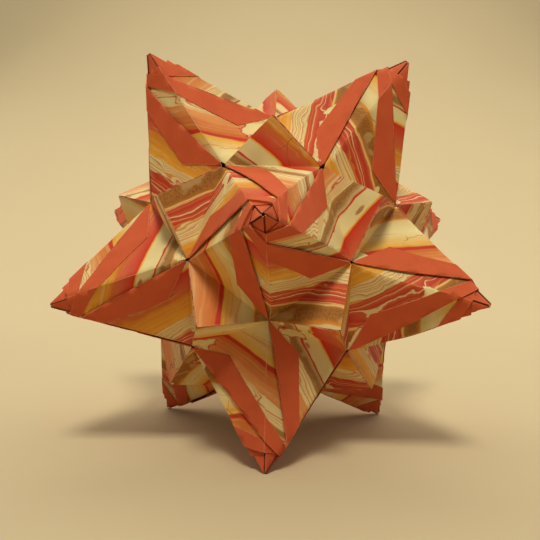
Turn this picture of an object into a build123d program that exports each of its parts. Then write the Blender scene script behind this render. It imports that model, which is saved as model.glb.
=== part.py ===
from build123d import *
import os
from math import atan, cos, radians, sin, sqrt
from typing import NamedTuple

# Kusudama paper ball: thirty folded paper units that tuck into one another.
# Millimetres, +Z up. The ball stands on three of its twelve spikes, and one spike faces -Y.

# Driving dimensions
valley_length = 25.0     # valley crease of a unit, from corner to corner
ridge_length = 39.8      # spike ridge, from a corner to the point where the spike's faces meet
paper = 0.20             # one layer of paper
tuck_gap = 0.05          # room between layers of two units
hem_top = 10.2           # down the ridge from the spike's point to the hem's folded edge
hem_cut_top = 16.1       # down the same ridge to the hem's cut edge
hem_end = 12.2           # slanted short end of the hem
hem_end_angle = 25.0     # degrees between that end and the valley crease
cap_reach = 4.0          # how far the cap flap reaches down past the hem's folded edge
cap_slit = 0.25          # open slit along each ridge of the cap
tip_hole = 1.0           # blunt end of the cap, across the small hole in it
flap_setback = 1.2       # how far a peak flap stops short of the next peak edge
eye_length = 3.0         # small opening where four corners meet, from spike to spike
eye_width = 1.4          # the same opening, from peak to peak

# An icosahedron gives the layout: a spike on each vertex, a peak on each face, and on each
# edge a corner where units meet. The peaks are square, as the corner of a cube.
golden = (1 + sqrt(5)) / 2
spike_step = 360 / 5
peak_step = 360 / 3
corner_radius = golden * valley_length
peak_edge = valley_length / sqrt(2)
tip_tilt = atan(1 / golden)
peak_tilt = atan(1 / golden**2)


def radius_at(tilt, edge_length):
    """Distance from the ball's middle to a point that lies edge_length from a corner."""
    across = corner_radius * sin(tilt)
    return corner_radius * cos(tilt) + sqrt(edge_length**2 - across**2)


# Points of one unit, with its own corner on +Z and its two spikes in the XZ plane
middle = Vector(0, 0, 0)
half_turn = Axis.Z
corner = Vector(0, 0, corner_radius)
tip = Vector(sin(tip_tilt), 0, cos(tip_tilt)) * radius_at(tip_tilt, ridge_length)
peak = Vector(0, -sin(peak_tilt), cos(peak_tilt)) * radius_at(peak_tilt, peak_edge)
spike_axis = Axis(middle, tip)
peak_axis = Axis(middle, peak)


class Flat(NamedTuple):
    """A flat surface: every point whose share along the normal equals the offset."""

    normal: Vector
    offset: float


def through(a, b, c):
    """The flat surface through three points, with its normal away from the ball's middle."""
    normal = (b - a).cross(c - a).normalized()
    if normal.dot(a) < 0:
        normal = -normal
    return Flat(normal, normal.dot(a))


def sunk(flat, depth):
    """The same surface, moved inwards."""
    return Flat(flat.normal, flat.offset - depth)


def crease(one, two):
    """The mitre in which a layer on one surface turns into a layer on the other."""
    return Flat(one.normal - two.normal, one.offset - two.offset)


def cut(flat, a, b):
    """A straight cut through the paper, square to its surface, along the line from a to b."""
    normal = flat.normal.cross(b - a).normalized()
    return Flat(normal, normal.dot(a))


def meet(one, two, three):
    """The point where three flat surfaces meet."""
    across = two.normal.cross(three.normal)
    total = across * one.offset
    total = total + three.normal.cross(one.normal) * two.offset
    total = total + one.normal.cross(two.normal) * three.offset
    return total * (1 / one.normal.dot(across))


def layer(outer, edges):
    """One flat layer of paper under the outer surface, bounded by its edges in order."""
    inner = sunk(outer, paper)
    pairs = list(zip(edges, edges[1:] + edges[:1]))
    top = [meet(outer, one, two) for one, two in pairs]
    under = [meet(inner, one, two) for one, two in pairs]
    outlines = [top, under[::-1]]
    for k in range(len(edges)):
        outlines.append([top[k - 1], under[k - 1], under[k], top[k]])
    sheet = Solid(Shell([Face(Wire.make_polygon(outline)) for outline in outlines]))
    return sheet.fix()


# Faces of the first spike, numbered the way the hem winds round it, from the unit's own face
spike_corners = [corner.rotate(spike_axis, -spike_step * k) for k in range(-1, 4)]
spike_faces = [through(tip, a, b) for a, b in zip(spike_corners, spike_corners[1:])]
own_face, next_face, cap_face, last_face = spike_faces

# Faces of the unit's peak: its own, the next one that its flap tucks under, and the third
peak_corners = [corner.rotate(peak_axis, peak_step * k) for k in range(3)]
own_peak = through(peak, peak_corners[2], peak_corners[0])
next_peak = through(peak, peak_corners[0], peak_corners[1])
third_peak = through(peak, peak_corners[1], peak_corners[2])

# How deep each layer lies under the unit's outer paper
hem_depth = -paper
flap_depth = paper + tuck_gap
wing_depth = 2 * paper + tuck_gap
wing_hem_depth = wing_depth - paper
cap_hem_depth = wing_depth + paper + tuck_gap
cap_depth = cap_hem_depth + paper
cap_clear = cap_depth + paper + cap_slit
wing_surface = sunk(next_face, wing_depth)
cap_surface = sunk(cap_face, cap_depth)
flap_surface = sunk(next_peak, flap_depth)


def down_ridge(number, reach):
    """A point on a spike ridge, reach away from the spike's point."""
    return tip + (spike_corners[number] - tip).normalized() * reach


def wound_reach(start, start_angle, first_reach, first_angle, angle):
    """Reach at which a straight line on the spread-out spike crosses the ray at an angle."""
    span = sin(first_angle - start_angle)
    along = (sin(first_angle) / start - sin(start_angle) / first_reach) / span
    aside = (cos(start_angle) / first_reach - cos(first_angle) / start) / span
    return 1 / (along * cos(angle) + aside * sin(angle))


# The hem's folded edge starts at the far corner, and its cut edge at the hem's blunt corner
far_corner = spike_corners[0]
point_angle = radians((far_corner - tip).get_angle(corner - tip))
valley_way = (corner - far_corner).normalized()
up_way = own_face.normal.cross(valley_way)
if up_way.dot(tip - far_corner) < 0:
    up_way = -up_way
slant = radians(hem_end_angle)
blunt = far_corner + (valley_way * cos(slant) + up_way * sin(slant)) * hem_end
blunt_reach = (blunt - tip).length
blunt_angle = radians((blunt - tip).get_angle(far_corner - tip))
fold_crossing = wound_reach(ridge_length, 0, hem_top, point_angle, 2 * point_angle)
cap_crossing = wound_reach(ridge_length, 0, hem_top, point_angle, 3 * point_angle)
cut_crossing = wound_reach(blunt_reach, blunt_angle, hem_cut_top, point_angle, 2 * point_angle)

# Creases and edges that the layers share
valley_crease = crease(own_face, own_peak)
ridge_crease = crease(own_face, wing_surface)
cap_crease = crease(wing_surface, cap_surface)
flap_crease = crease(own_peak, flap_surface)
hem_fold = cut(own_face, far_corner, down_ridge(1, hem_top))
hem_cut = cut(own_face, blunt, down_ridge(1, hem_cut_top))
hem_slant = cut(own_face, far_corner, blunt)
wing_fold = cut(next_face, down_ridge(1, hem_top), down_ridge(2, fold_crossing))
wing_cut = cut(next_face, down_ridge(1, hem_cut_top), down_ridge(2, cut_crossing))
cap_fold = cut(cap_face, down_ridge(2, fold_crossing), down_ridge(3, cap_crossing))
cap_cut = cut(cap_face, down_ridge(2, fold_crossing + cap_reach),
              down_ridge(3, cap_crossing + cap_reach))
cap_end = sunk(last_face, cap_clear)
cap_side = sunk(next_face, cap_depth)    # above the hem, level with the cap beside it

# The cap's blunt end lies square to the spike, where the cap is as wide as the hole
spike_way = tip.normalized()
cap_lean = cap_face.normal.dot(spike_way)
cap_top = cap_surface.offset / cap_lean
hole_drop = tip_hole / 2 * sqrt(1 - cap_lean**2) / cap_lean
tip_cut = Flat(spike_way, cap_top - hole_drop)


def turned(flat):
    """A flat surface after the unit's half turn."""
    return Flat(flat.normal.rotate(half_turn, 180), flat.offset)


def make_unit():
    """One folded sheet, as a single solid with its corner on +Z."""
    other_flap = turned(flap_surface)
    half = [
        layer(own_face, [valley_crease, ridge_crease, hem_fold]),
        layer(sunk(own_face, hem_depth), [hem_fold, hem_slant, hem_cut, ridge_crease]),
        layer(own_peak, [valley_crease, third_peak, flap_crease]),
        layer(flap_surface, [flap_crease, sunk(third_peak, flap_setback),
                             crease(flap_surface, turned(wing_surface))]),
        layer(wing_surface, [ridge_crease, wing_fold, cap_crease,
                             crease(wing_surface, other_flap)]),
        layer(sunk(next_face, wing_hem_depth), [ridge_crease, wing_fold, cap_crease, wing_cut]),
        layer(cap_surface, [cap_crease, cap_fold, cap_side, tip_cut, cap_end, cap_cut]),
        layer(sunk(cap_face, cap_hem_depth), [cap_crease, cap_fold, cap_end, cap_cut]),
    ]
    other_half = [sheet.rotate(half_turn, 180) for sheet in half]
    sheets = half + other_half
    eye_sides = [(eye_length / 2, 0), (0, eye_width / 2), (-eye_length / 2, 0), (0, -eye_width / 2)]
    eye = extrude(make_face(Polyline(*eye_sides, close=True)), amount=tip.length)
    eyes = [eye]
    for step in (-spike_step, spike_step):
        beside = eye.rotate(spike_axis, step)
        eyes = eyes + [beside, beside.rotate(half_turn, 180)]
    return sheets[0].fuse(*sheets[1:]).cut(*eyes).clean()


def spike_directions():
    """The twelve spikes, with three of them pointing down as feet and one pointing to -Y."""
    steep = atan(2 / golden**2)
    level = atan(2 * golden**2)
    directions = []
    for tilt, start in ((steep, 90), (level, -90)):
        for step in range(3):
            around = radians(start + peak_step * step)
            upper = Vector(sin(tilt) * cos(around), sin(tilt) * sin(around), cos(tilt))
            directions = directions + [upper, -upper]
    return directions


def placements():
    """Where each unit sits on the ball, from the top down and then round."""
    spikes = spike_directions()
    pairs = [(a, b) for k, a in enumerate(spikes) for b in spikes[:k] if 0 < a.dot(b)]
    planes = [Plane(origin=middle, x_dir=a - b, z_dir=a + b) for a, b in pairs]
    return sorted(planes, key=lambda p: (-round(p.z_dir.Z, 3), round(p.z_dir.Y, 3), p.z_dir.X))


unit = make_unit()
ball = [unit.moved(plane.location) for plane in placements()]
floor = min(sheet.bounding_box().min.Z for sheet in ball)
os.makedirs("parts", exist_ok=True)
for number, sheet in enumerate(ball, start=1):
    standing = sheet.moved(Location((0, 0, -floor)))
    export_step(standing, f"parts/unit_{number:02d}.step")
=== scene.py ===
import logging
import math
import random
from dataclasses import dataclass, field
from enum import Enum

import bmesh
import bpy
from mathutils import Matrix, Vector, noise


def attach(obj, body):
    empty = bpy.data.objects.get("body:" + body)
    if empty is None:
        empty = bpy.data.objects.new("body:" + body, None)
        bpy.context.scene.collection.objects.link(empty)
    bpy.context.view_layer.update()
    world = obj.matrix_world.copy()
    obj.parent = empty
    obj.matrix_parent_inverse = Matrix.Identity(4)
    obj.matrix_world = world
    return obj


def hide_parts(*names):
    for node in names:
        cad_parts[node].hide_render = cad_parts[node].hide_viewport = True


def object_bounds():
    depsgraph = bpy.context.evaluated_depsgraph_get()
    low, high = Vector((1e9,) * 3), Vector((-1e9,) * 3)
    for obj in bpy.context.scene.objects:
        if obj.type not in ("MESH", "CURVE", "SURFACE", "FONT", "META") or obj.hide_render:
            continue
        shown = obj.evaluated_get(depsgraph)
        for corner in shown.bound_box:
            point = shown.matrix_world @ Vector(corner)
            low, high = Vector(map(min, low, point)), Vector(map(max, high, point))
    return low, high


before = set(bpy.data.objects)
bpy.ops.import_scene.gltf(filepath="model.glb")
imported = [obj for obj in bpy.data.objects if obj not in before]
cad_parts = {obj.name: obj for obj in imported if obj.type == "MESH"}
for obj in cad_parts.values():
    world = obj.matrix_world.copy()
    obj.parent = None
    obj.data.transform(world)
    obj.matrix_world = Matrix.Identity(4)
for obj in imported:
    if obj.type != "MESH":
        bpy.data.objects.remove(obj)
cad_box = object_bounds()
log = logging.getLogger("paper_ball")

# A ball of thirty folded paper units. Each unit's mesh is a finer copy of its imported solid's, bent a
# little as by hand and dressed with the sheet that it is folded from. Lengths are in metres.
MM = 0.001
GOLDEN = (1 + math.sqrt(5)) / 2
PRINT_MAP = "print"
WEAR_MAP = "wear"
NEVER_WORN = 9.0
WORN_LINES = 4
LEVEL = 0.03 * MM

Socket = bpy.types.NodeSocket
Colour = tuple[float, float, float]
Pair = tuple[float, float]
Line = tuple[Vector, Vector]


class Side(Enum):
    """Which side of the paper a face shows, and the material slot that it takes; the last slot is no side
    of the paper but painted shade, dark paper colour on the walls of slits and gaps where shade falls.
    """

    PRINT = 0
    PLAIN = 1
    CUT = 2
    # Painted shade: dark paper colour for the walls of slits and gaps, standing in for the shade inside
    # them.
    PAINTED_SHADE = 3


class Vein(Enum):
    """What runs through one stratum of the print."""

    CLEAR = 0
    STRIPED = 1
    LINED = 2
    SPECKLED = 3
    GRAINED = 4
    SPOTTED = 5


@dataclass(frozen=True)
class Flat:
    """A flat surface: every point whose share along the normal equals the offset."""

    normal: Vector
    offset: float

    def sunk(self, depth: float) -> "Flat":
        """The same surface, moved inwards by a depth."""
        return Flat(self.normal, self.offset - depth)

    def flipped(self) -> "Flat":
        """The same surface, seen from its other side."""
        return Flat(-self.normal, -self.offset)

    @staticmethod
    def through(a: Vector, b: Vector, c: Vector) -> "Flat":
        """The flat surface through three points.

        Args:
            a: First point.
            b: Second point.
            c: Third point.

        Returns:
            The surface, with its normal away from the ball's middle.
        """
        normal = (b - a).cross(c - a).normalized()
        if normal.dot(a) < 0:
            normal = -normal
        return Flat(normal, normal.dot(a))


@dataclass(frozen=True)
class Chart:
    """Spreads one layer out flat: lengths along and away from its crease become flat lengths."""

    origin: Vector
    along: Vector
    away: Vector
    flat_along: Vector
    flat_away: Vector

    def place(self, point: Vector) -> Vector:
        """The flat place of a point of the layer."""
        reach = point - self.origin
        return self.flat_along * reach.dot(self.along) + self.flat_away * reach.dot(self.away)

    def turned(self, turn: Matrix) -> "Chart":
        """The chart of the unit's other half, which is half a turn away on the sheet too."""
        return Chart(turn @ self.origin, turn @ self.along, turn @ self.away,
                     -self.flat_along, -self.flat_away)

    def beyond(self, start: Vector, end: Vector, into: Vector) -> "Chart":
        """The chart of the layer on the far side of a crease of this layer.

        Args:
            start: A point of the crease.
            end: Another point of the crease.
            into: Any point of the far layer.

        Returns:
            A chart that joins this one along the crease.
        """
        along = (end - start).normalized()
        away = into - start
        away = (away - along * away.dot(along)).normalized()
        flat_start = self.place(start)
        flat_along = (self.place(end) - flat_start).normalized()
        flat_away = Vector((-flat_along.y, flat_along.x))
        inside = self.place(self.origin + self.along + self.away) - flat_start
        if flat_away.dot(inside) > 0:
            flat_away = -flat_away
        shifted = start - along * flat_start.dot(flat_along) - away * flat_start.dot(flat_away)
        return Chart(shifted, along, away, flat_along, flat_away)


@dataclass(frozen=True)
class Layer:
    """One flat layer of a folded unit: its visible surface, its side and its chart."""

    name: str
    surface: Flat
    side: Side
    chart: Chart


@dataclass(frozen=True)
class FreeEdge:
    """An edge of a layer that nothing holds down, so that it stands off a little."""

    surface: Flat
    start: Vector
    end: Vector
    top: float
    bottom: float
    lift: float
    reach: float

    def raised(self, point: Vector) -> Vector:
        """How far a point moves off the layer below.

        Args:
            point: A point in the unit's own frame.

        Returns:
            The move, the most at the middle of the edge and none away from its layers.
        """
        depth = self.surface.offset - self.surface.normal.dot(point)
        if not self.top - LEVEL < depth < self.bottom + LEVEL:
            return Vector((0, 0, 0))
        run = self.end - self.start
        share = (point - self.start).dot(run) / run.length_squared
        if not 0 < share < 1:
            return Vector((0, 0, 0))
        gap = (point - self.start - run * share).length
        rise = self.lift * math.sin(math.pi * share) * math.exp(-((gap / self.reach) ** 2))
        return self.surface.normal * rise


@dataclass
class UnitLayout:
    """Sizes of one folded unit, with its corner on +Z and its two spikes in the XZ plane."""

    valley_length: float = 25.0 * MM
    ridge_length: float = 39.8 * MM
    paper: float = 0.20 * MM
    tuck_gap: float = 0.05 * MM
    hem_top: float = 10.2 * MM
    cap_slit: float = 0.25 * MM
    spike_step: float = math.radians(72)
    peak_step: float = math.radians(120)
    hem_lift: float = 0.36 * MM
    wing_lift: float = 0.17 * MM
    cap_lift: float = 0.15 * MM
    peak_lift: float = 0.26 * MM
    lift_reach: float = 3.4 * MM
    corner: Vector = field(init=False)
    tip: Vector = field(init=False)
    peak: Vector = field(init=False)
    half_turn: Matrix = field(init=False)
    free_edges: list[FreeEdge] = field(init=False)

    def __post_init__(self) -> None:
        """Works out the unit's main points and free edges."""
        self.corner = Vector((0, 0, GOLDEN * self.valley_length))
        self.tip = self.on_ray(math.atan(1 / GOLDEN), self.ridge_length, Vector((1, 0, 0)))
        peak_edge = self.valley_length / math.sqrt(2)
        self.peak = self.on_ray(math.atan(1 / GOLDEN**2), peak_edge, Vector((0, -1, 0)))
        self.half_turn = Matrix.Rotation(math.pi, 3, "Z")
        wing_top = self.wing_depth - self.paper
        wing_bottom = self.wing_depth + self.paper
        cap_top = self.cap_depth - self.paper
        self.free_edges = [
            FreeEdge(self.spike_face(0), self.fold_point(0), self.fold_point(1),
                     -self.paper, self.paper, self.hem_lift, self.lift_reach),
            FreeEdge(self.spike_face(1), self.fold_point(1), self.fold_point(2),
                     wing_top, wing_bottom, self.wing_lift, self.lift_reach / 2),
            FreeEdge(self.spike_face(2), self.fold_point(2), self.fold_point(3),
                     cap_top, cap_top, self.cap_lift, self.lift_reach / 4),
            FreeEdge(self.peak_face(0), self.spike_corner(-1), self.peak,
                     0.0, self.paper, self.peak_lift, self.lift_reach),
        ]

    @property
    def wing_depth(self) -> float:
        """Depth of the wing under the unit's outer paper."""
        return 2 * self.paper + self.tuck_gap

    @property
    def cap_depth(self) -> float:
        """Depth of the cap under the unit's outer paper."""
        return self.wing_depth + 2 * self.paper + self.tuck_gap

    def on_ray(self, tilt: float, edge: float, side: Vector) -> Vector:
        """The outer point of a tilted ray that lies one edge away from the corner.

        Args:
            tilt: Angle between the ray and +Z.
            edge: Distance from the corner.
            side: Level direction that the ray leans to.

        Returns:
            The point on the ray.
        """
        radius = self.corner.z
        across = radius * math.sin(tilt)
        length = radius * math.cos(tilt) + math.sqrt(edge**2 - across**2)
        return (side * math.sin(tilt) + Vector((0, 0, math.cos(tilt)))) * length

    def spike_corner(self, number: int) -> Vector:
        """A corner round the first spike: 0 is the unit's own, and -1 its far one."""
        return Matrix.Rotation(-self.spike_step * number, 3, self.tip) @ self.corner

    def spike_face(self, number: int) -> Flat:
        """A face of the first spike, in the order in which the hem winds: 0 is the unit's own."""
        return Flat.through(self.tip, self.spike_corner(number - 1), self.spike_corner(number))

    def peak_face(self, number: int) -> Flat:
        """A face of the unit's peak.

        Args:
            number: 0 for the unit's own face, and 1 for the one that holds its flap.

        Returns:
            The face's surface.
        """
        turn = Matrix.Rotation(self.peak_step * (number - 1), 3, self.peak)
        onward = Matrix.Rotation(self.peak_step * number, 3, self.peak)
        return Flat.through(self.peak, turn @ self.corner, onward @ self.corner)

    def fold_point(self, number: int) -> Vector:
        """Where the hem's folded edge crosses a ridge, on a straight line round the spread-out spike.

        Args:
            number: 0 for the far corner, and then each ridge in turn.

        Returns:
            The crossing.
        """
        step = (self.spike_corner(0) - self.tip).angle(self.spike_corner(1) - self.tip)
        along = 1 / self.ridge_length
        aside = (1 / self.hem_top - along * math.cos(step)) / math.sin(step)
        reach = 1 / (along * math.cos(step * number) + aside * math.sin(step * number))
        return self.tip + (self.spike_corner(number - 1) - self.tip).normalized() * reach

    def fold_wall(self, number: int) -> Flat:
        """The narrow wall of the hem's folded edge, seen from the tip.

        Args:
            number: Face of the spike that the wall stands on.

        Returns:
            The wall's surface.
        """
        start = self.fold_point(number)
        normal = self.spike_face(number).normal.cross(self.fold_point(number + 1) - start).normalized()
        if normal.dot(self.tip - start) < 0:
            normal = -normal
        return Flat(normal, normal.dot(start))

    def half_layers(self) -> list[Layer]:
        """The layers of the unit's first half.

        Returns:
            Outer and inner surfaces of the face, peak, flap, wing and cap, and the hems with their folds.
        """
        far = self.spike_corner(-1)
        valley = (far - self.corner).normalized()
        rise = self.tip - self.corner
        rise = (rise - valley * rise.dot(valley)).normalized()
        face_chart = Chart(self.corner, valley, rise, Vector((1, 0)), Vector((0, 1)))
        peak_chart = face_chart.beyond(self.corner, far, self.peak)
        wing_chart = face_chart.beyond(self.corner, self.tip, self.spike_corner(1))
        cap_chart = wing_chart.beyond(self.spike_corner(1), self.tip, self.spike_corner(2))
        flap_tip = Matrix.Rotation(self.peak_step, 3, self.peak) @ self.corner
        flap_chart = peak_chart.beyond(self.corner, self.peak, flap_tip)
        wing = self.spike_face(1).sunk(self.wing_depth)
        cap = self.spike_face(2).sunk(self.cap_depth)
        cap_end = self.spike_face(3).sunk(self.cap_depth + self.paper + self.cap_slit)
        flap = self.peak_face(1).sunk(self.paper + self.tuck_gap)
        sheets = [
            Layer("face", self.spike_face(0), Side.PRINT, face_chart),
            Layer("peak", self.peak_face(0), Side.PRINT, peak_chart),
            Layer("flap", flap, Side.PRINT, flap_chart),
            Layer("wing", wing, Side.PRINT, wing_chart),
            Layer("cap", cap, Side.PLAIN, cap_chart),
        ]
        hems = [
            Layer("hem", self.spike_face(0).sunk(-self.paper), Side.PLAIN, face_chart),
            Layer("wing_hem", wing.sunk(-self.paper), Side.PLAIN, wing_chart),
            Layer("cap_hem", cap.sunk(-self.paper), Side.PLAIN, cap_chart),
            Layer("hem_fold", self.fold_wall(0), Side.PLAIN, face_chart),
            Layer("wing_fold", self.fold_wall(1), Side.PLAIN, wing_chart),
            # The cap's fold wall, side and end get painted shade: dark paper colour that stands in for
            # the shade in the gaps and slits between caps.
            Layer("cap_fold", self.fold_wall(2), Side.PAINTED_SHADE, cap_chart),
            Layer("cap_side", self.spike_face(1).sunk(self.cap_depth), Side.PAINTED_SHADE, cap_chart),
            Layer("cap_end", cap_end, Side.PAINTED_SHADE, cap_chart),
        ]
        backs = [Layer(one.name + "_back", one.surface.sunk(self.paper).flipped(), Side.PLAIN, one.chart)
                 for one in sheets]
        return sheets + hems + backs

    def layers(self) -> list[Layer]:
        """The layers of both halves.

        Returns:
            The first half's layers, and then those of the other half in the same order.
        """
        first = self.half_layers()
        second = [Layer(one.name + "_2", Flat(self.half_turn @ one.surface.normal, one.surface.offset),
                        one.side, one.chart.turned(self.half_turn)) for one in first]
        return first + second


class NodeBoard:
    """Adds and wires the shader nodes of one material.

    Places and lengths are in mm of the flat sheet, and waves are per mm.
    """

    chip_waves: float = 1.4
    chip_step: Pair = (-0.05, 0.08)
    patch_waves: float = 0.16
    patch_step: Pair = (0.38, 0.62)
    tooth_waves: float = 5.5
    sway_waves: float = 0.35
    sway_share: float = 1.6

    def __init__(self, name: str) -> None:
        """Starts a material with an empty board and its surface shader.

        Args:
            name: Name of the material.
        """
        self.material = bpy.data.materials.new(name)
        self.material.use_nodes = True
        self.tree = self.material.node_tree
        self.shader = self.tree.nodes["Principled BSDF"]

    def add(self, kind: str, **settings: object) -> bpy.types.Node:
        """Adds a node.

        Args:
            kind: Type of the node.
            settings: Properties to set on it.

        Returns:
            The node.
        """
        node = self.tree.nodes.new(kind)
        for key, value in settings.items():
            setattr(node, key, value)
        return node

    def feed(self, socket: Socket, value: object) -> None:
        """Gives a socket a link or a constant.

        Args:
            socket: The input to fill.
            value: An output to link to it, or a constant.
        """
        if isinstance(value, Socket):
            self.tree.links.new(value, socket)
        else:
            socket.default_value = value

    def math(self, way: str, *values: object) -> Socket:
        """A sum of numbers.

        Args:
            way: Name of the operation.
            values: Links or constants, in order.

        Returns:
            The result's socket.
        """
        node = self.add("ShaderNodeMath", operation=way)
        for socket, value in zip(node.inputs, values):
            self.feed(socket, value)
        return node.outputs[0]

    def vector(self, way: str, *values: object) -> Socket:
        """A sum of vectors.

        Args:
            way: Name of the operation.
            values: Links or constants, in order.

        Returns:
            The result's socket.
        """
        node = self.add("ShaderNodeVectorMath", operation=way)
        for socket, value in zip(node.inputs, values):
            self.feed(socket, value)
        return node.outputs[0]

    def scaled(self, vector: object, factor: float) -> Socket:
        """A vector times a number.

        Args:
            vector: Link or constant.
            factor: The number.

        Returns:
            The result's socket.
        """
        node = self.add("ShaderNodeVectorMath", operation="SCALE")
        self.feed(node.inputs[0], vector)
        node.inputs["Scale"].default_value = factor
        return node.outputs[0]

    def noise(self, place: object, scale: float, detail: float = 2.0,
              rough: float = 0.5) -> bpy.types.Node:
        """A noise texture.

        Args:
            place: Socket with the place to read it at.
            scale: Waves per unit of place.
            detail: Number of finer waves.
            rough: Strength of the finer waves.

        Returns:
            The texture node, with its value and its colour.
        """
        node = self.add("ShaderNodeTexNoise")
        self.feed(node.inputs["Vector"], place)
        node.inputs["Scale"].default_value = scale
        node.inputs["Detail"].default_value = detail
        node.inputs["Roughness"].default_value = rough
        return node

    def steps(self, value: object, low: float, high: float) -> Socket:
        """A smooth step.

        Args:
            value: Socket with the value.
            low: Value at which the step is 0.
            high: Value at which the step is 1.

        Returns:
            The step's socket.
        """
        node = self.add("ShaderNodeMapRange", interpolation_type="SMOOTHSTEP")
        self.feed(node.inputs["Value"], value)
        node.inputs["From Min"].default_value = low
        node.inputs["From Max"].default_value = high
        return node.outputs[0]

    def ramp(self, value: object, stops: tuple[tuple[float, Colour], ...]) -> Socket:
        """A colour ramp.

        Args:
            value: Socket that runs along the ramp.
            stops: Places on the ramp with their colours.

        Returns:
            The colour's socket.
        """
        node = self.add("ShaderNodeValToRGB")
        elements = node.color_ramp.elements
        while len(elements) < len(stops):
            elements.new(1.0)
        for element, (place, colour) in zip(elements, stops):
            element.position = place
            element.color = (*colour, 1.0)
        self.feed(node.inputs[0], value)
        return node.outputs[0]

    def mix(self, share: object, base: object, over: object, way: str = "MIX") -> Socket:
        """Lays one colour over another.

        Args:
            share: Share of the upper colour.
            base: Lower colour.
            over: Upper colour.
            way: Blend type.

        Returns:
            The mixed colour's socket.
        """
        node = self.add("ShaderNodeMix", data_type="RGBA", blend_type=way)
        self.feed(node.inputs["Factor"], share)
        self.feed(node.inputs["A"], base if isinstance(base, Socket) else (*base, 1.0))
        self.feed(node.inputs["B"], over if isinstance(over, Socket) else (*over, 1.0))
        return node.outputs["Result"]

    def sheet_place(self) -> Socket:
        """Place on the flat sheet, in mm."""
        return self.add("ShaderNodeUVMap", uv_map=PRINT_MAP).outputs[0]

    def edge_distance(self) -> Socket:
        """Distance to the nearest worn edge.

        Returns:
            The distance's socket, in mm.
        """
        read = self.add("ShaderNodeAttribute", attribute_name=WEAR_MAP)
        split = self.add("ShaderNodeSeparateColor")
        self.feed(split.inputs[0], read.outputs["Color"])
        nearest = self.math("MINIMUM", split.outputs[0], split.outputs[1])
        nearest = self.math("MINIMUM", nearest, split.outputs[2])
        return self.math("MINIMUM", nearest, read.outputs["Alpha"])

    def wear(self, place: object, reach: float = 0.28) -> Socket:
        """Share of wear: chipped along edges, stronger in some places than in others.

        Args:
            place: Place on the flat sheet.
            reach: How far wear goes in from an edge, in mm.

        Returns:
            The share's socket.
        """
        chipped = self.noise(place, self.chip_waves, 3.0, 0.7).outputs[0]
        edge = self.math("SUBTRACT", self.math("MULTIPLY", chipped, reach), self.edge_distance())
        patchy = self.steps(self.noise(place, self.patch_waves, 1.0).outputs[0], *self.patch_step)
        return self.math("MULTIPLY", self.steps(edge, *self.chip_step), patchy)

    def surface(self, colour: object, rough: float, specular: float) -> None:
        """Sets how the surface looks.

        Args:
            colour: Link to its colour.
            rough: Its roughness.
            specular: Strength of its sheen.
        """
        self.feed(self.shader.inputs["Base Color"], colour)
        self.shader.inputs["Roughness"].default_value = rough
        self.shader.inputs["Specular IOR Level"].default_value = specular

    def grain(self, place: object, strength: float, height: float = 0.06 * MM) -> None:
        """Gives the surface the fine tooth and the slow sway of paper.

        Args:
            place: Place on the flat sheet.
            strength: Strength of the bumps.
            height: Height of the bumps, in metres.
        """
        tooth = self.noise(place, self.tooth_waves, 3.0, 0.65).outputs[0]
        sway = self.noise(place, self.sway_waves).outputs[0]
        bumps = self.math("ADD", tooth, self.math("MULTIPLY", sway, self.sway_share))
        bump = self.add("ShaderNodeBump")
        bump.inputs["Strength"].default_value = strength
        bump.inputs["Distance"].default_value = height
        self.feed(bump.inputs["Height"], bumps)
        self.feed(self.shader.inputs["Normal"], bump.outputs[0])


def tone(red: int, green: int, blue: int) -> Colour:
    """A display colour as the linear colour that shaders take.

    Args:
        red: Red of the display colour, up to 255.
        green: Green of it.
        blue: Blue of it.

    Returns:
        The linear colour.
    """
    def linear(part: int) -> float:
        """One channel of it."""
        share = part / 255
        if share <= 0.04045:
            return share / 12.92
        return ((share + 0.055) / 1.055) ** 2.4
    return linear(red), linear(green), linear(blue)


@dataclass(frozen=True)
class Band:
    """One stratum of the print: its width in mm, its colour at both sides and what runs through it."""

    width: float
    first: Colour
    last: Colour
    vein: Vein = Vein.CLEAR


@dataclass(frozen=True)
class Sway:
    """One size of swirl that the strata follow: waves per mm, reach in mm and finer waves."""

    waves: float
    reach: float
    detail: float


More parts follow.
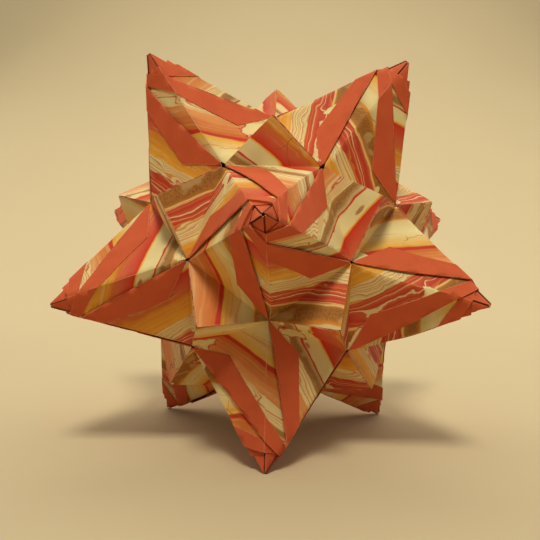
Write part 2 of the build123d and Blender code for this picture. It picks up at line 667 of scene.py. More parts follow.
@dataclass(frozen=True)
class MarbledPaper:
    """Printed side: long strata of cream, yellow, orange, red and brown, as in cut sandstone.

    Lengths are in mm of the flat sheet. Waves are per mm, where there are two along and across the
    strata. A step gives the values at which something starts and is full.
    """

    cream: Colour = tone(234, 212, 152)
    sand: Colour = tone(216, 188, 128)
    peach: Colour = tone(228, 152, 88)
    yellow: Colour = tone(238, 170, 52)
    gold: Colour = tone(217, 135, 36)
    amber: Colour = tone(212, 112, 40)
    coral: Colour = tone(212, 96, 60)
    red: Colour = tone(194, 62, 38)
    scarlet: Colour = tone(208, 48, 26)
    brown: Colour = tone(172, 112, 48)
    umber: Colour = tone(124, 76, 32)
    crack: Colour = tone(112, 74, 40)
    worn: Colour = tone(240, 218, 174)
    dull: Colour = (0.90, 0.87, 0.84)
    sways: tuple[Sway, ...] = (
        Sway(0.011, 22.0, 1.0), Sway(0.045, 4.6, 0.0), Sway(0.20, 0.60, 1.0), Sway(0.9, 0.15, 2.0))
    swell: float = 4.0
    swell_waves: Pair = (0.022, 0.11)
    border: float = 0.10
    line_group: float = 3.3
    spread: float = 1.5
    spread_waves: Pair = (0.006, 0.12)
    uneven: float = 0.9
    uneven_waves: Pair = (0.014, 0.38)
    stripe_share: float = 0.9
    thread_share: float = 0.85
    speckle_waves: float = 2.8
    speckle_step: Pair = (0.36, 0.62)
    speckle_share: float = 0.8
    speckle_fade: float = 1.3
    blot_waves: float = 0.21
    blot_step: Pair = (0.56, 0.63)
    blot_share: float = 0.55
    fibre_waves: Pair = (0.012, 1.1)
    dark_fibre_step: Pair = (0.53, 0.66)
    dark_fibre_share: float = 0.42
    pale_fibre_step: Pair = (0.46, 0.34)
    pale_fibre_share: float = 0.32
    spot_waves: Pair = (0.13, 0.40)
    spot_step: Pair = (0.26, 0.16)
    spot_share: float = 0.85
    pool_waves: Pair = (0.026, 0.075)
    pool_step: Pair = (0.822, 0.836)
    rim_step: Pair = (0.812, 0.820)
    rim_part_waves: float = 0.11
    rim_part_step: Pair = (0.47, 0.60)
    torn_waves: float = 0.30
    torn_share: float = 0.16
    crack_waves: float = 0.055
    crack_sway: float = 2.0
    crack_sway_waves: float = 0.3
    crack_step: Pair = (0.007, 0.002)
    crack_share: float = 0.6
    cracked_waves: float = 0.07
    cracked_step: Pair = (0.62, 0.66)
    wear_share: float = 0.28
    dull_waves: float = 0.10
    dull_step: Pair = (0.72, 0.32)
    roughness: float = 0.62
    specular: float = 0.22
    tooth: float = 0.5

    def bands(self) -> tuple[Band, ...]:
        """The strata in their order across the sheet, after which they start again."""
        return (
            Band(2.8, self.cream, self.sand),
            Band(4.4, self.gold, self.brown, Vein.SPECKLED),
            Band(0.6, self.yellow, self.cream),
            Band(5.0, self.coral, self.red, Vein.STRIPED),
            Band(4.0, self.sand, self.cream, Vein.LINED),
            Band(5.4, self.yellow, self.gold, Vein.GRAINED),
            Band(2.4, self.amber, self.coral, Vein.GRAINED),
            Band(3.6, self.coral, self.scarlet),
            Band(0.5, self.yellow, self.yellow),
            Band(3.4, self.cream, self.cream, Vein.SPOTTED),
            Band(0.5, self.scarlet, self.red),
            Band(2.6, self.sand, self.brown, Vein.SPECKLED),
            Band(4.5, self.cream, self.peach, Vein.LINED),
            Band(7.0, self.peach, self.amber, Vein.GRAINED),
            Band(1.2, self.scarlet, self.red),
            Band(6.0, self.yellow, self.cream, Vein.GRAINED),
        )

    def total(self) -> float:
        """Width of all strata together."""
        return sum(band.width for band in self.bands())

    def warped(self, board: NodeBoard, place: object) -> Socket:
        """Sways a place on the sheet as the strata were laid down.

        Args:
            board: Board of the material.
            place: Place on the flat sheet.

        Returns:
            The swayed place.
        """
        for sway in self.sways:
            swirl = board.noise(place, sway.waves, sway.detail).outputs["Color"]
            swirl = board.vector("SUBTRACT", swirl, (0.5, 0.5, 0.5))
            place = board.vector("ADD", place, board.scaled(swirl, sway.reach))
        swell = board.math("SUBTRACT", self.drawn(board, place, self.swell_waves, 1.0), 0.5)
        rise = board.add("ShaderNodeCombineXYZ")
        board.feed(rise.inputs["Y"], board.math("MULTIPLY", swell, self.swell))
        return board.vector("ADD", place, rise.outputs[0])

    def drawn(self, board: NodeBoard, place: object, waves: Pair, detail: float = 2.0,
              rough: float = 0.5) -> Socket:
        """Noise that is drawn out along the strata.

        Args:
            board: Board of the material.
            place: Swayed place on the sheet.
            waves: Waves along and across the strata.
            detail: Number of finer waves.
            rough: Strength of the finer waves.

        Returns:
            The noise's value.
        """
        return board.noise(board.vector("MULTIPLY", place, (*waves, 1.0)), 1.0, detail, rough).outputs[0]

    def height(self, board: NodeBoard, place: object) -> Socket:
        """How far across the strata a place lies, in mm.

        Args:
            board: Board of the material.
            place: Swayed place on the sheet.

        Returns:
            The height's socket.
        """
        split = board.add("ShaderNodeSeparateXYZ")
        board.feed(split.inputs[0], place)
        return split.outputs["Y"]

    def strata(self, board: NodeBoard, level: object) -> Socket:
        """The plain colour of each stratum.

        Args:
            board: Board of the material.
            level: Level as a share of all strata.

        Returns:
            The colour.
        """
        stops = []
        start = 0.0
        for band in self.bands():
            soft = min(self.border, band.width / 4)
            stops.append(((start + soft) / self.total(), band.first))
            stops.append(((start + band.width - soft) / self.total(), band.last))
            start += band.width
        return board.ramp(level, tuple(stops))

    def inside(self, board: NodeBoard, level: object, vein: Vein, share: float,
               fade: float = 0.1) -> Socket:
        """A share where the strata have a vein, and 0 elsewhere.

        Args:
            board: Board of the material.
            level: Level as a share of all strata.
            vein: The vein.
            share: The share inside.
            fade: Width in mm over which it fades in and out.

        Returns:
            The share's socket.
        """
        total = self.total()
        soft = fade / total
        found = None
        start = 0.0
        for band in self.bands():
            end = start + band.width
            if band.vein is vein:
                rise = board.steps(level, start / total, start / total + soft)
                fall = board.steps(level, end / total, end / total - soft)
                here = board.math("MULTIPLY", rise, fall)
                found = here if found is None else board.math("ADD", found, here)
            start = end
        return board.math("MULTIPLY", found, share)

    def lined(self, board: NodeBoard, place: object, level: object, colour: object) -> Socket:
        """Adds stripes to the striped strata and thin threads to the lined ones.

        Args:
            board: Board of the material.
            place: Swayed place on the sheet.
            level: Level as a share of all strata.
            colour: Colour so far.

        Returns:
            The lined colour.
        """
        spread = board.math("MULTIPLY", self.drawn(board, place, self.spread_waves, 1.0), self.spread)
        uneven = board.math("MULTIPLY", self.drawn(board, place, self.uneven_waves, 0.0), self.uneven)
        even = board.math("DIVIDE", self.height(board, place), self.line_group)
        phase = board.math("FRACT", board.math("ADD", even, board.math("ADD", spread, uneven)))
        stripes = board.ramp(phase, (
            (0.00, self.red), (0.20, self.coral), (0.22, self.cream), (0.25, self.cream),
            (0.27, self.red), (0.45, self.coral), (0.50, self.peach), (0.53, self.cream),
            (0.55, self.coral), (0.72, self.red), (0.75, self.gold), (0.78, self.coral),
            (0.92, self.red)))
        share = self.inside(board, level, Vein.STRIPED, self.stripe_share)
        colour = board.mix(share, colour, stripes)
        threads = board.ramp(phase, (
            (0.00, self.cream), (0.12, self.sand), (0.14, self.coral), (0.17, self.coral),
            (0.19, self.cream), (0.36, self.cream), (0.40, self.gold), (0.46, self.peach),
            (0.48, self.cream), (0.62, self.sand), (0.64, self.red), (0.66, self.coral),
            (0.68, self.cream), (0.84, self.cream), (0.87, self.peach), (0.93, self.gold),
            (0.97, self.cream)))
        return board.mix(self.inside(board, level, Vein.LINED, self.thread_share), colour, threads)

    def speckled(self, board: NodeBoard, place: object, level: object, colour: object) -> Socket:
        """Adds brown grains with pale blots to the speckled strata.

        Args:
            board: Board of the material.
            place: Swayed place on the sheet.
            level: Level as a share of all strata.
            colour: Colour so far.

        Returns:
            The speckled colour.
        """
        speckle = board.noise(place, self.speckle_waves, 2.0, 0.7).outputs[0]
        grains = board.mix(board.steps(speckle, *self.speckle_step), self.umber, self.brown)
        blot = board.steps(board.noise(place, self.blot_waves, 2.0, 0.4).outputs[0], *self.blot_step)
        grains = board.mix(board.math("MULTIPLY", blot, self.blot_share), grains, self.sand)
        share = self.inside(board, level, Vein.SPECKLED, self.speckle_share, self.speckle_fade)
        return board.mix(share, colour, grains)

    def fibred(self, board: NodeBoard, place: object, level: object, colour: object) -> Socket:
        """Adds dark and pale fibres, as of wood, to the grained strata.

        Args:
            board: Board of the material.
            place: Swayed place on the sheet.
            level: Level as a share of all strata.
            colour: Colour so far.

        Returns:
            The grained colour.
        """
        fibre = self.drawn(board, place, self.fibre_waves, 3.0, 0.6)
        for step, share, tint in ((self.dark_fibre_step, self.dark_fibre_share, self.coral),
                                  (self.pale_fibre_step, self.pale_fibre_share, self.cream)):
            here = self.inside(board, level, Vein.GRAINED, share)
            colour = board.mix(board.math("MULTIPLY", board.steps(fibre, *step), here), colour, tint)
        return colour

    def spotted(self, board: NodeBoard, place: object, level: object, colour: object) -> Socket:
        """Adds a few long brown spots to the spotted strata.

        Args:
            board: Board of the material.
            place: Swayed place on the sheet.
            level: Level as a share of all strata.
            colour: Colour so far.

        Returns:
            The spotted colour.
        """
        cell = board.add("ShaderNodeTexVoronoi", feature="F1")
        board.feed(cell.inputs["Vector"], board.vector("MULTIPLY", place, (*self.spot_waves, 1.0)))
        cell.inputs["Scale"].default_value = 1.0
        near = board.steps(cell.outputs["Distance"], *self.spot_step)
        here = self.inside(board, level, Vein.SPOTTED, self.spot_share)
        return board.mix(board.math("MULTIPLY", near, here), colour, self.brown)

    def pooled(self, board: NodeBoard, place: object, colour: object) -> Socket:
        """Adds a few cream pools, with torn red borders in part.

        Args:
            board: Board of the material.
            place: Swayed place on the sheet.
            colour: Colour so far.

        Returns:
            The colour with pools.
        """
        calm = self.drawn(board, place, self.pool_waves, 0.0)
        tear = board.noise(place, self.torn_waves, 2.0, 0.5).outputs[0]
        torn = board.math("ADD", calm, board.math("MULTIPLY", tear, self.torn_share))
        part = board.noise(place, self.rim_part_waves, 0.0).outputs[0]
        rim = board.math("MULTIPLY", board.steps(torn, *self.rim_step),
                         board.steps(part, *self.rim_part_step))
        colour = board.mix(rim, colour, self.red)
        return board.mix(board.steps(torn, *self.pool_step), colour, self.cream)

    def cracked(self, board: NodeBoard, flat: object, colour: object) -> Socket:
        """Adds hairline cracks in some places.

        Args:
            board: Board of the material.
            flat: Place on the flat sheet.
            colour: Colour so far.

        Returns:
            The cracked colour.
        """
        swirl = board.noise(flat, self.crack_sway_waves).outputs["Color"]
        swayed = board.scaled(swirl, self.crack_sway)
        cell = board.add("ShaderNodeTexVoronoi", feature="DISTANCE_TO_EDGE")
        board.feed(cell.inputs["Vector"], board.vector("ADD", flat, swayed))
        cell.inputs["Scale"].default_value = self.crack_waves
        here = board.steps(board.noise(flat, self.cracked_waves, 0.0).outputs[0], *self.cracked_step)
        crack = board.math("MULTIPLY", board.steps(cell.outputs["Distance"], *self.crack_step), here)
        return board.mix(board.math("MULTIPLY", crack, self.crack_share), colour, self.crack)

    def material(self) -> bpy.types.Material:
        """Builds the finish.

        Returns:
            The material.
        """
        board = NodeBoard("marbled_paper")
        flat = board.sheet_place()
        place = self.warped(board, flat)
        level = board.math("FRACT", board.math("DIVIDE", self.height(board, place), self.total()))
        colour = self.strata(board, level)
        for veined in (self.lined, self.speckled, self.fibred, self.spotted):
            colour = veined(board, place, level, colour)
        colour = self.pooled(board, place, colour)
        colour = self.cracked(board, flat, colour)
        colour = board.mix(board.math("MULTIPLY", board.wear(flat), self.wear_share), colour, self.worn)
        shade = board.noise(flat, self.dull_waves, 3.0).outputs[0]
        colour = board.mix(board.steps(shade, *self.dull_step), colour, self.dull, "MULTIPLY")
        board.surface(colour, self.roughness, self.specular)
        board.grain(flat, self.tooth)
        return board.material


@dataclass(frozen=True)
class PlainPaper:
    """Plain terracotta side, with fine fibres and lighter folds."""

    name: str = "plain_red_paper"
    red: Colour = tone(204, 89, 49)
    deep: Colour = tone(198, 83, 46)
    worn: Colour = tone(226, 146, 108)
    cloud_waves: float = 0.16
    cloud_step: Pair = (0.35, 0.65)
    fibre_waves: Pair = (3.0, 10.2)
    pale_fibre_step: Pair = (0.5, 0.75)
    deep_fibre_step: Pair = (0.48, 0.25)
    fibre_share: float = 0.22
    wear_share: float = 0.55
    roughness: float = 0.75
    specular: float = 0.18
    tooth: float = 0.6

    def material(self) -> bpy.types.Material:
        """Builds the finish.

        Returns:
            The material.
        """
        board = NodeBoard(self.name)
        flat = board.sheet_place()
        cloud = board.noise(flat, self.cloud_waves, 3.0).outputs[0]
        colour = board.mix(board.steps(cloud, *self.cloud_step), self.red, self.deep)
        long, short = self.fibre_waves
        stretched = board.vector("MULTIPLY", flat, (1.0, short / long, 1.0))
        fibre = board.noise(stretched, long, 3.0, 0.7).outputs[0]
        for step, tint in ((self.pale_fibre_step, self.worn), (self.deep_fibre_step, self.deep)):
            share = board.math("MULTIPLY", board.steps(fibre, *step), self.fibre_share)
            colour = board.mix(share, colour, tint)
        colour = board.mix(board.math("MULTIPLY", board.wear(flat), self.wear_share), colour, self.worn)
        board.surface(colour, self.roughness, self.specular)
        board.grain(flat, self.tooth)
        return board.material


@dataclass(frozen=True)
class CutEdge:
    """The paper's core, seen on cut edges."""

    core: Colour = tone(210, 140, 102)
    stained: Colour = tone(164, 84, 56)
    stain_waves: float = 0.9 / MM
    stain_step: Pair = (0.4, 0.6)
    roughness: float = 0.85
    specular: float = 0.15

    def material(self) -> bpy.types.Material:
        """Builds the finish.

        Returns:
            The material.
        """
        board = NodeBoard("cut_paper_edge")
        place = board.add("ShaderNodeNewGeometry").outputs["Position"]
        stain = board.noise(place, self.stain_waves, 3.0, 0.6).outputs[0]
        colour = board.mix(board.steps(stain, *self.stain_step), self.core, self.stained)
        board.surface(colour, self.roughness, self.specular)
        return board.material


@dataclass(frozen=True)
class Lean:
    """One spike that leans away from its true direction."""

    around: float
    rise: float
    move: Vector

    def direction(self) -> Vector:
        """True direction of the spike, from its angle round the ball and its rise above level."""
        level = math.cos(self.rise)
        return Vector((level * math.cos(self.around), level * math.sin(self.around), math.sin(self.rise)))


@dataclass(frozen=True)
class Pinch:
    """One corner of the ball where the units close up."""

    direction: Vector
    share: float
    reach: float = 3.0 * MM

    def moved(self, point: Vector) -> Vector:
        """How far a point near the corner moves towards its middle.

        Args:
            point: The point, from the ball's middle.

        Returns:
            The move, which is nothing out of the corner's reach.
        """
        aside = point - self.direction * point.dot(self.direction)
        if point.dot(self.direction) < 0 or aside.length > self.reach:
            return Vector((0, 0, 0))
        return aside * (-self.share * (1 - aside.length / self.reach))


@dataclass
class HandFolding:
    """Slow bends, small ripples and leaning spikes of a ball that was folded by hand."""

    seed: int = 7
    sway: float = 0.55 * MM
    sway_wave: float = 34.0 * MM
    ripple: float = 0.16 * MM
    ripple_wave: float = 9.0 * MM
    ripple_start: Vector = field(default_factory=lambda: Vector((7.0, 3.0, 5.0)))
    foot_height: float = 12.0 * MM
    spike_foot: float = 41.0 * MM
    spike_top: float = 65.0 * MM
    spike_core: float = math.radians(21)
    spike_rim: float = math.radians(31)
    steep: float = math.atan(GOLDEN**2 / 2)
    gentle: float = math.atan(1 / (2 * GOLDEN**2))
    leans: list[Lean] = field(init=False)
    pinches: list[Pinch] = field(init=False)

    def __post_init__(self) -> None:
        """Seeds the bends and lists the spikes that lean and the corners that close up."""
        noise.seed_set(self.seed)
        front, right, left = (math.radians(angle) for angle in (-90, -30, -150))
        back_right, back_left = (math.radians(angle) for angle in (30, 150))
        self.leans = [
            Lean(front, self.gentle, Vector((-0.6, 0.0, -1.0)) * MM),
            Lean(left, self.steep, Vector((0.8, 0.0, 1.2)) * MM),
            Lean(right, self.steep, Vector((0.3, 0.0, -0.1)) * MM),
            Lean(left, -self.gentle, Vector((0.2, 0.0, -0.5)) * MM),
            Lean(right, -self.gentle, Vector((-0.3, 0.0, 1.8)) * MM),
            Lean(back_left, self.gentle, Vector((0.4, 0.0, 0.1)) * MM),
            Lean(back_right, self.gentle, Vector((-1.2, 0.0, -1.4)) * MM),
        ]
        spike = Lean(front, self.gentle, Vector()).direction()
        self.pinches = [
            Pinch((spike + Lean(front, -self.steep, Vector()).direction()).normalized(), 0.95),
            Pinch((spike + Lean(left, -self.gentle, Vector()).direction()).normalized(), 0.5),
            Pinch((spike + Lean(right, -self.gentle, Vector()).direction()).normalized(), 0.5),
        ]

    @staticmethod
    def eased(value: float, low: float, high: float) -> float:
        """A smooth step from 0 at low to 1 at high."""
        share = min(max((value - low) / (high - low), 0.0), 1.0)
        return share * share * (3 - 2 * share)

    def leaned(self, point: Vector) -> Vector:
        """How far a point moves with the spike that it is on.

        Args:
            point: The point, from the ball's middle.

        Returns:
            The move, the most at a spike's tip.
        """
        move = Vector((0, 0, 0))
        for lean in self.leans:
            aside = 1 - self.eased(point.angle(lean.direction()), self.spike_core, self.spike_rim)
            move += lean.move * (aside * self.eased(point.length, self.spike_foot, self.spike_top))
        return move

    def bent(self, point: Vector, height: float) -> Vector:
        """Moves a point of the ball as the paper around it is bent.

        Args:
            point: The point, from the ball's middle.
            height: Its height above the floor, on which the feet stay.

        Returns:
            The moved point.
        """
        slow = noise.noise_vector(point / self.sway_wave) * self.sway
        quick = noise.noise_vector(point / self.ripple_wave + self.ripple_start) * self.ripple
        closed = sum((pinch.moved(point) for pinch in self.pinches), self.leaned(point))
        return point + (slow + quick) * self.eased(height, 0.0, self.foot_height) + closed


@dataclass
class PaperUnit:
    """One folded sheet of the ball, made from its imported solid."""

    number: int
    layout: UnitLayout
    folding: HandFolding
    facet: float = 2.2 * MM
    most_cuts: int = 6
    sliver: float = 0.0001 * MM**2
    weld: float = 0.001 * MM
    same_way: float = 0.998
    flat_angle: float = math.radians(0.4)
    sharp_angle: float = math.radians(22)
    worn_angle: float = 0.2
    first_seed: int = 40
    print_turns: Pair = (-146, -114)
    print_columns: tuple[float, ...] = (0.0, 120.0, 260.0)
    print_rows: tuple[float, ...] = (4.0, 22.0, 39.0)
    column_play: float = 12
    row_play: float = 4
    turn: float = field(init=False)
    shift: Vector = field(init=False)

    def __post_init__(self) -> None:
        """Draws the piece of printed paper that this unit was cut from."""
        draw = random.Random(self.first_seed + self.number)
        self.turn = math.radians(draw.uniform(*self.print_turns))
        along = draw.choice(self.print_columns) + draw.uniform(-self.column_play, self.column_play)
        across = draw.choice(self.print_rows) + draw.uniform(-self.row_play, self.row_play)
        self.shift = Vector((along, across))

    @property
    def node(self) -> str:
        """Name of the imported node."""
        return f"unit_{self.number:02d}"

    def own_frame(self, solid: bpy.types.Object, middle: Vector) -> Matrix:
        """Finds how the unit sits on the ball from its two spike points.

        Args:
            solid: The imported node.
            middle: Middle of the ball.

        Returns:
            Matrix from the unit's own frame to the ball's.
        """
        reaches = [vertex.co - middle for vertex in solid.data.vertices]
        first = max(reaches, key=lambda reach: reach.length)
        apart = [reach for reach in reaches if reach.angle(first) > self.layout.spike_step / 2]
        second = max(apart, key=lambda reach: reach.length)
        up = (first + second).normalized()
        side = (first - second).normalized()
        turn = Matrix((side, up.cross(side), up)).transposed()
        return Matrix.Translation(middle) @ turn.to_4x4()

    def layer_of(self, face: bmesh.types.BMFace, layers: list[Layer]) -> int:
        """Finds the layer that a face of the solid belongs to.

        Args:
            face: A flat face, in the unit's own frame.
            layers: Layers of the unit.

        Returns:
            The layer's number, or -1 for a cut edge.
        """
        offset = face.normal.dot(face.calc_center_median())
        for number, layer in enumerate(layers):
            level = abs(offset - layer.surface.offset) < self.layout.paper / 4
            if level and face.normal.dot(layer.surface.normal) > self.same_way:
                return number
        return -1

    def worn_lines(self, face: bmesh.types.BMFace) -> list[Line]:
        """The longest outward edges of a face, along which paper wears.

        Args:
            face: A flat face of the solid.

        Returns:
            Up to four lines, each as a point and the direction into the face.
        """
        outward = [edge for edge in face.edges
                   if edge.is_manifold and edge.calc_face_angle_signed() > self.worn_angle]
        outward.sort(key=lambda edge: -edge.calc_length())
        lines = []
        for edge in outward[:WORN_LINES]:
            start, end = (vertex.co.copy() for vertex in edge.verts)
            into = face.normal.cross(end - start).normalized()
            if into.dot(face.calc_center_median() - start) < 0:
                into = -into
            lines.append((start, into))
        return lines

    def refine(self, work: bmesh.types.BMesh) -> None:
        """Cuts the faces into facets small enough to bend.

        A halved edge may leave a facet without area, which is mended by turning its longest edge.

        Args:
            work: The unit's mesh, in its own frame.
        """
        bmesh.ops.triangulate(work, faces=work.faces)
        for _ in range(self.most_cuts):
            long_edges = [edge for edge in work.edges if edge.calc_length() > self.facet]
            if not long_edges:
                break
            bmesh.ops.subdivide_edges(work, edges=long_edges, cuts=1)
            bmesh.ops.triangulate(work, faces=[face for face in work.faces if len(face.verts) > 3])
            for face in [face for face in work.faces if face.calc_area() < self.sliver]:
                if face.is_valid:
                    bmesh.utils.edge_rotate(max(face.edges, key=lambda edge: edge.calc_length()))

    def lifted(self, point: Vector) -> Vector:
        """Lifts a point near a free edge off the layer below.

        Args:
            point: The point, in the unit's own frame.

        Returns:
            The lifted point.
        """
        moved = point.copy()
        for turn in (Matrix.Identity(3), self.layout.half_turn):
            for edge in self.layout.free_edges:
                moved += turn @ edge.raised(turn @ point)
        return moved

    def dress(self, work: bmesh.types.BMesh, layers: list[Layer], lines: list[list[Line]]) -> None:
        """Writes each facet's place on the print and its distance to worn edges.

        Args:
            work: The unit's mesh, in its own frame.
            layers: Layers of the unit.
            lines: Worn lines of each face before it was cut into facets.
        """
        layer_mark = work.faces.layers.int["layer"]
        plate_mark = work.faces.layers.int["plate"]
        print_map = work.loops.layers.uv.new(PRINT_MAP)
        wear_map = work.loops.layers.float_color.new(WEAR_MAP)
        swing = Matrix.Rotation(self.turn, 2)
        for face in work.faces:
            chart = layers[max(face[layer_mark], 0)].chart
            worn = lines[face[plate_mark]]
            for loop in face.loops:
                loop[print_map].uv = swing @ (chart.place(loop.vert.co) / MM) + self.shift
                away = [abs((loop.vert.co - start).dot(into)) / MM for start, into in worn]
                loop[wear_map] = (away + [NEVER_WORN] * WORN_LINES)[:WORN_LINES]

    def mark(self, work: bmesh.types.BMesh, layers: list[Layer]) -> list[list[Line]]:
        """Gives each face its layer, its number and its material.

        Args:
            work: The unit's mesh, in its own frame.
            layers: Layers of the unit.

        Returns:
            Worn lines of each face.
        """
        layer_mark = work.faces.layers.int.new("layer")
        plate_mark = work.faces.layers.int.new("plate")
        lines = []
        for number, face in enumerate(work.faces):
            face[layer_mark] = self.layer_of(face, layers)
            face[plate_mark] = number
            side = layers[face[layer_mark]].side if face[layer_mark] >= 0 else Side.CUT
            face.material_index = side.value
            lines.append(self.worn_lines(face) if side is not Side.CUT else [])
        return lines

    def shape(self, middle: Vector) -> bpy.types.Mesh:
        """Makes the unit's mesh from a copy of its solid's.

        Args:
            middle: Middle of the ball.

        Returns:
            The bent mesh, in the ball's frame.
        """
        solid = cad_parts[self.node]
        placing = self.own_frame(solid, middle)
        layers = self.layout.layers()
        work = bmesh.new()
        work.from_mesh(solid.data)
        bmesh.ops.remove_doubles(work, verts=work.verts, dist=self.weld)
        work.transform(placing.inverted())
        bmesh.ops.dissolve_limit(work, angle_limit=self.flat_angle, verts=work.verts, edges=work.edges)
        work.normal_update()
        lines = self.mark(work, layers)
        self.refine(work)
        self.dress(work, layers, lines)
        for vertex in work.verts:
            lifted = placing @ self.lifted(vertex.co)
            vertex.co = self.folding.bent(lifted - middle, lifted.z) + middle
        mesh = bpy.data.meshes.new(f"paper_{self.node}")
        work.normal_update()
        work.to_mesh(mesh)
        work.free()
        return mesh

    def build(self, middle: Vector, finishes: list[bpy.types.Material]) -> bpy.types.Object:
        """Makes the unit and sets it in the place of its node.

        Args:
            middle: Middle of the ball.
            finishes: Materials in the order of the sides.

        Returns:
            The finished object.
        """
        mesh = self.shape(middle)
        for finish in finishes:
            mesh.materials.append(finish)
        mesh.shade_smooth()
        mesh.set_sharp_from_angle(angle=self.sharp_angle)
        piece = bpy.data.objects.new(f"paper_{self.node}", mesh)
        bpy.context.scene.collection.objects.link(piece)
        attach(piece, "root")
        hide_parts(self.node)
        return piece


@dataclass
class PaperBall:
    """The whole ball: its units and their finishes."""

    count: int = 30
    layout: UnitLayout = field(default_factory=UnitLayout)
    folding: HandFolding = field(default_factory=HandFolding)
    # Painted shade: a darker copy of the plain red paper, laid on slit and gap walls where shade falls.
    painted_shade: PlainPaper = PlainPaper(
        "painted_shade_red_paper", tone(126, 50, 32), tone(102, 38, 25), tone(160, 78, 52))

    def middle(self) -> Vector:
        """Middle of the ball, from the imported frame's box."""
        low, high = (Vector(corner) for corner in cad_box)
        return (low + high) / 2

    def build(self) -> list[bpy.types.Object]:
        """Makes every unit.

        Returns:
            The units' objects.
        """
        papers = (MarbledPaper(), PlainPaper(), CutEdge(), self.painted_shade)
        finishes = [paper.material() for paper in papers]
        pieces = []
        for number in range(1, self.count + 1):
            unit = PaperUnit(number, self.layout, self.folding)
            pieces.append(unit.build(self.middle(), finishes))
        return pieces


@dataclass(frozen=True)
class SoftLight:
    """A soft square light: its place and its aim from the ball's middle, its side and its power."""

    name: str
    place: tuple[float, float, float]
    size: float
    power: float
    aim: tuple[float, float, float] = (0.0, 0.0, 0.0)


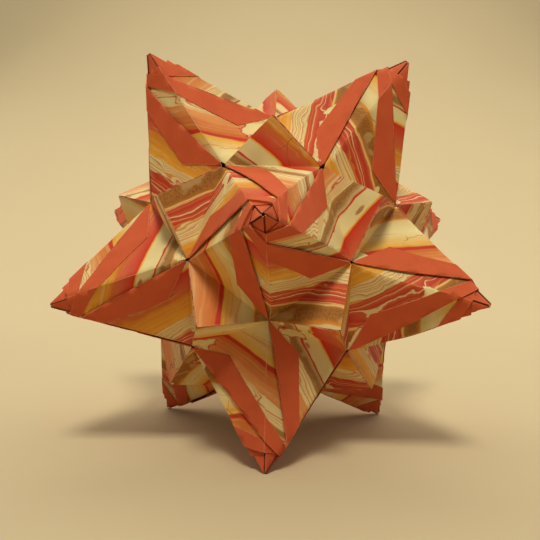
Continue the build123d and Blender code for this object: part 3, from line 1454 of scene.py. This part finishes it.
@dataclass
class Studio:
    """Pale sweep, soft lights and the camera."""

    floor_colour: Colour = tone(196, 174, 138)
    floor_fade: float = 0.94
    floor_waves: float = 6.0
    floor_roughness: float = 0.8
    sweep_front: float = -0.85
    sweep_back: float = 0.25
    sweep_bend: float = 0.9
    sweep_height: float = 2.2
    sweep_width: float = 1.9
    bend_steps: int = 24
    light_colour: Colour = (1.0, 1.0, 0.85)
    soft_lights: tuple[SoftLight, ...] = (
        SoftLight("key_high", (0.0, -0.58, 1.0), 0.25, 9.3),
        SoftLight("soft_above", (0.0, 0.10, 1.15), 2.4, 9.0),
        SoftLight("side_left", (-0.75, 0.45, 0.30), 0.8, 2.6),
        SoftLight("side_right", (0.75, 0.45, 0.30), 0.8, 2.6),
        SoftLight("backdrop", (0.0, 0.40, 0.55), 0.6, 2.4, (0.0, 0.76, 0.02)),
    )
    dim_colour: Colour = (0.86, 0.93, 1.0)
    dim_strength: float = 0.05
    surround: Colour = tone(164, 147, 111)
    lens: float = 48.09
    nearest: float = 0.01
    eye: Vector = field(default_factory=lambda: Vector((6.07, -212.04, 9.40)) * MM)
    aim: Vector = field(default_factory=lambda: Vector((-1.11, 1.87, -4.77)) * MM)
    roll: float = math.radians(1.03)

    def floor_finish(self) -> bpy.types.Material:
        """Builds the sweep's finish.

        Returns:
            The material.
        """
        board = NodeBoard("pale_sweep")
        place = board.add("ShaderNodeNewGeometry").outputs["Position"]
        cloud = board.noise(place, self.floor_waves, 2.0).outputs[0]
        faded = tuple(part * self.floor_fade for part in self.floor_colour)
        board.feed(board.shader.inputs["Base Color"], board.mix(cloud, self.floor_colour, faded))
        board.shader.inputs["Roughness"].default_value = self.floor_roughness
        return board.material

    def sweep(self) -> None:
        """Makes the floor that curves up into a backdrop."""
        profile = [(self.sweep_front, 0.0)]
        for step in range(self.bend_steps + 1):
            angle = math.pi / 2 * step / self.bend_steps
            profile.append((self.sweep_back + self.sweep_bend * math.sin(angle),
                            self.sweep_bend * (1 - math.cos(angle))))
        profile.append((self.sweep_back + self.sweep_bend, self.sweep_height))
        half = self.sweep_width / 2
        points = [(side, y, z) for y, z in profile for side in (-half, half)]
        faces = [(2 * k, 2 * k + 1, 2 * k + 3, 2 * k + 2) for k in range(len(profile) - 1)]
        mesh = bpy.data.meshes.new("sweep")
        mesh.from_pydata(points, [], faces)
        mesh.shade_smooth()
        mesh.materials.append(self.floor_finish())
        floor = bpy.data.objects.new("sweep", mesh)
        bpy.context.scene.collection.objects.link(floor)

    def hang(self, light: SoftLight, middle: Vector) -> None:
        """Hangs one soft light.

        Args:
            light: The light.
            middle: Middle of the ball.
        """
        lamp = bpy.data.lights.new(light.name, "AREA")
        lamp.shape = "SQUARE"
        lamp.size = light.size
        lamp.energy = light.power
        lamp.color = self.light_colour
        place = middle + Vector(light.place)
        aim = middle + Vector(light.aim)
        holder = bpy.data.objects.new(light.name, lamp)
        holder.location = place
        holder.rotation_euler = (aim - place).to_track_quat("-Z", "Y").to_euler()
        bpy.context.scene.collection.objects.link(holder)

    def room(self) -> None:
        """Fills the room with dim light, and shows a plain tone past the sweep's edges."""
        world = bpy.context.scene.world or bpy.data.worlds.new("room")
        bpy.context.scene.world = world
        world.use_nodes = True
        tree = world.node_tree
        dim = tree.nodes["Background"]
        dim.inputs["Color"].default_value = (*self.dim_colour, 1.0)
        dim.inputs["Strength"].default_value = self.dim_strength
        plain = tree.nodes.new("ShaderNodeBackground")
        plain.inputs["Color"].default_value = (*self.surround, 1.0)
        rays = tree.nodes.new("ShaderNodeLightPath")
        either = tree.nodes.new("ShaderNodeMixShader")
        tree.links.new(rays.outputs["Is Camera Ray"], either.inputs[0])
        tree.links.new(dim.outputs[0], either.inputs[1])
        tree.links.new(plain.outputs[0], either.inputs[2])
        tree.links.new(either.outputs[0], tree.nodes["World Output"].inputs["Surface"])

    def camera(self, middle: Vector) -> None:
        """Sets the camera at the photograph's angle.

        Args:
            middle: Middle of the ball.
        """
        lens = bpy.data.cameras.new("camera")
        lens.lens = self.lens
        lens.clip_start = self.nearest
        holder = bpy.data.objects.new("camera", lens)
        look = (self.aim - self.eye).to_track_quat("-Z", "Y").to_matrix()
        turned = look @ Matrix.Rotation(self.roll, 3, "Z")
        holder.matrix_world = Matrix.Translation(middle + self.eye) @ turned.to_4x4()
        bpy.context.scene.collection.objects.link(holder)
        bpy.context.scene.camera = holder

    def build(self, middle: Vector) -> None:
        """Sets up the floor, the lights and the camera.

        Args:
            middle: Middle of the ball.
        """
        self.sweep()
        for light in self.soft_lights:
            self.hang(light, middle)
        self.room()
        self.camera(middle)
        bpy.context.scene.view_settings.view_transform = "Standard"


def main() -> None:
    logging.basicConfig(level=logging.INFO, format="%(message)s")
    ball = PaperBall()
    for piece in ball.build():
        log.info("%s: %d facets", piece.name, len(piece.data.polygons))
    Studio().build(ball.middle())


if __name__ == "__main__":
    main()
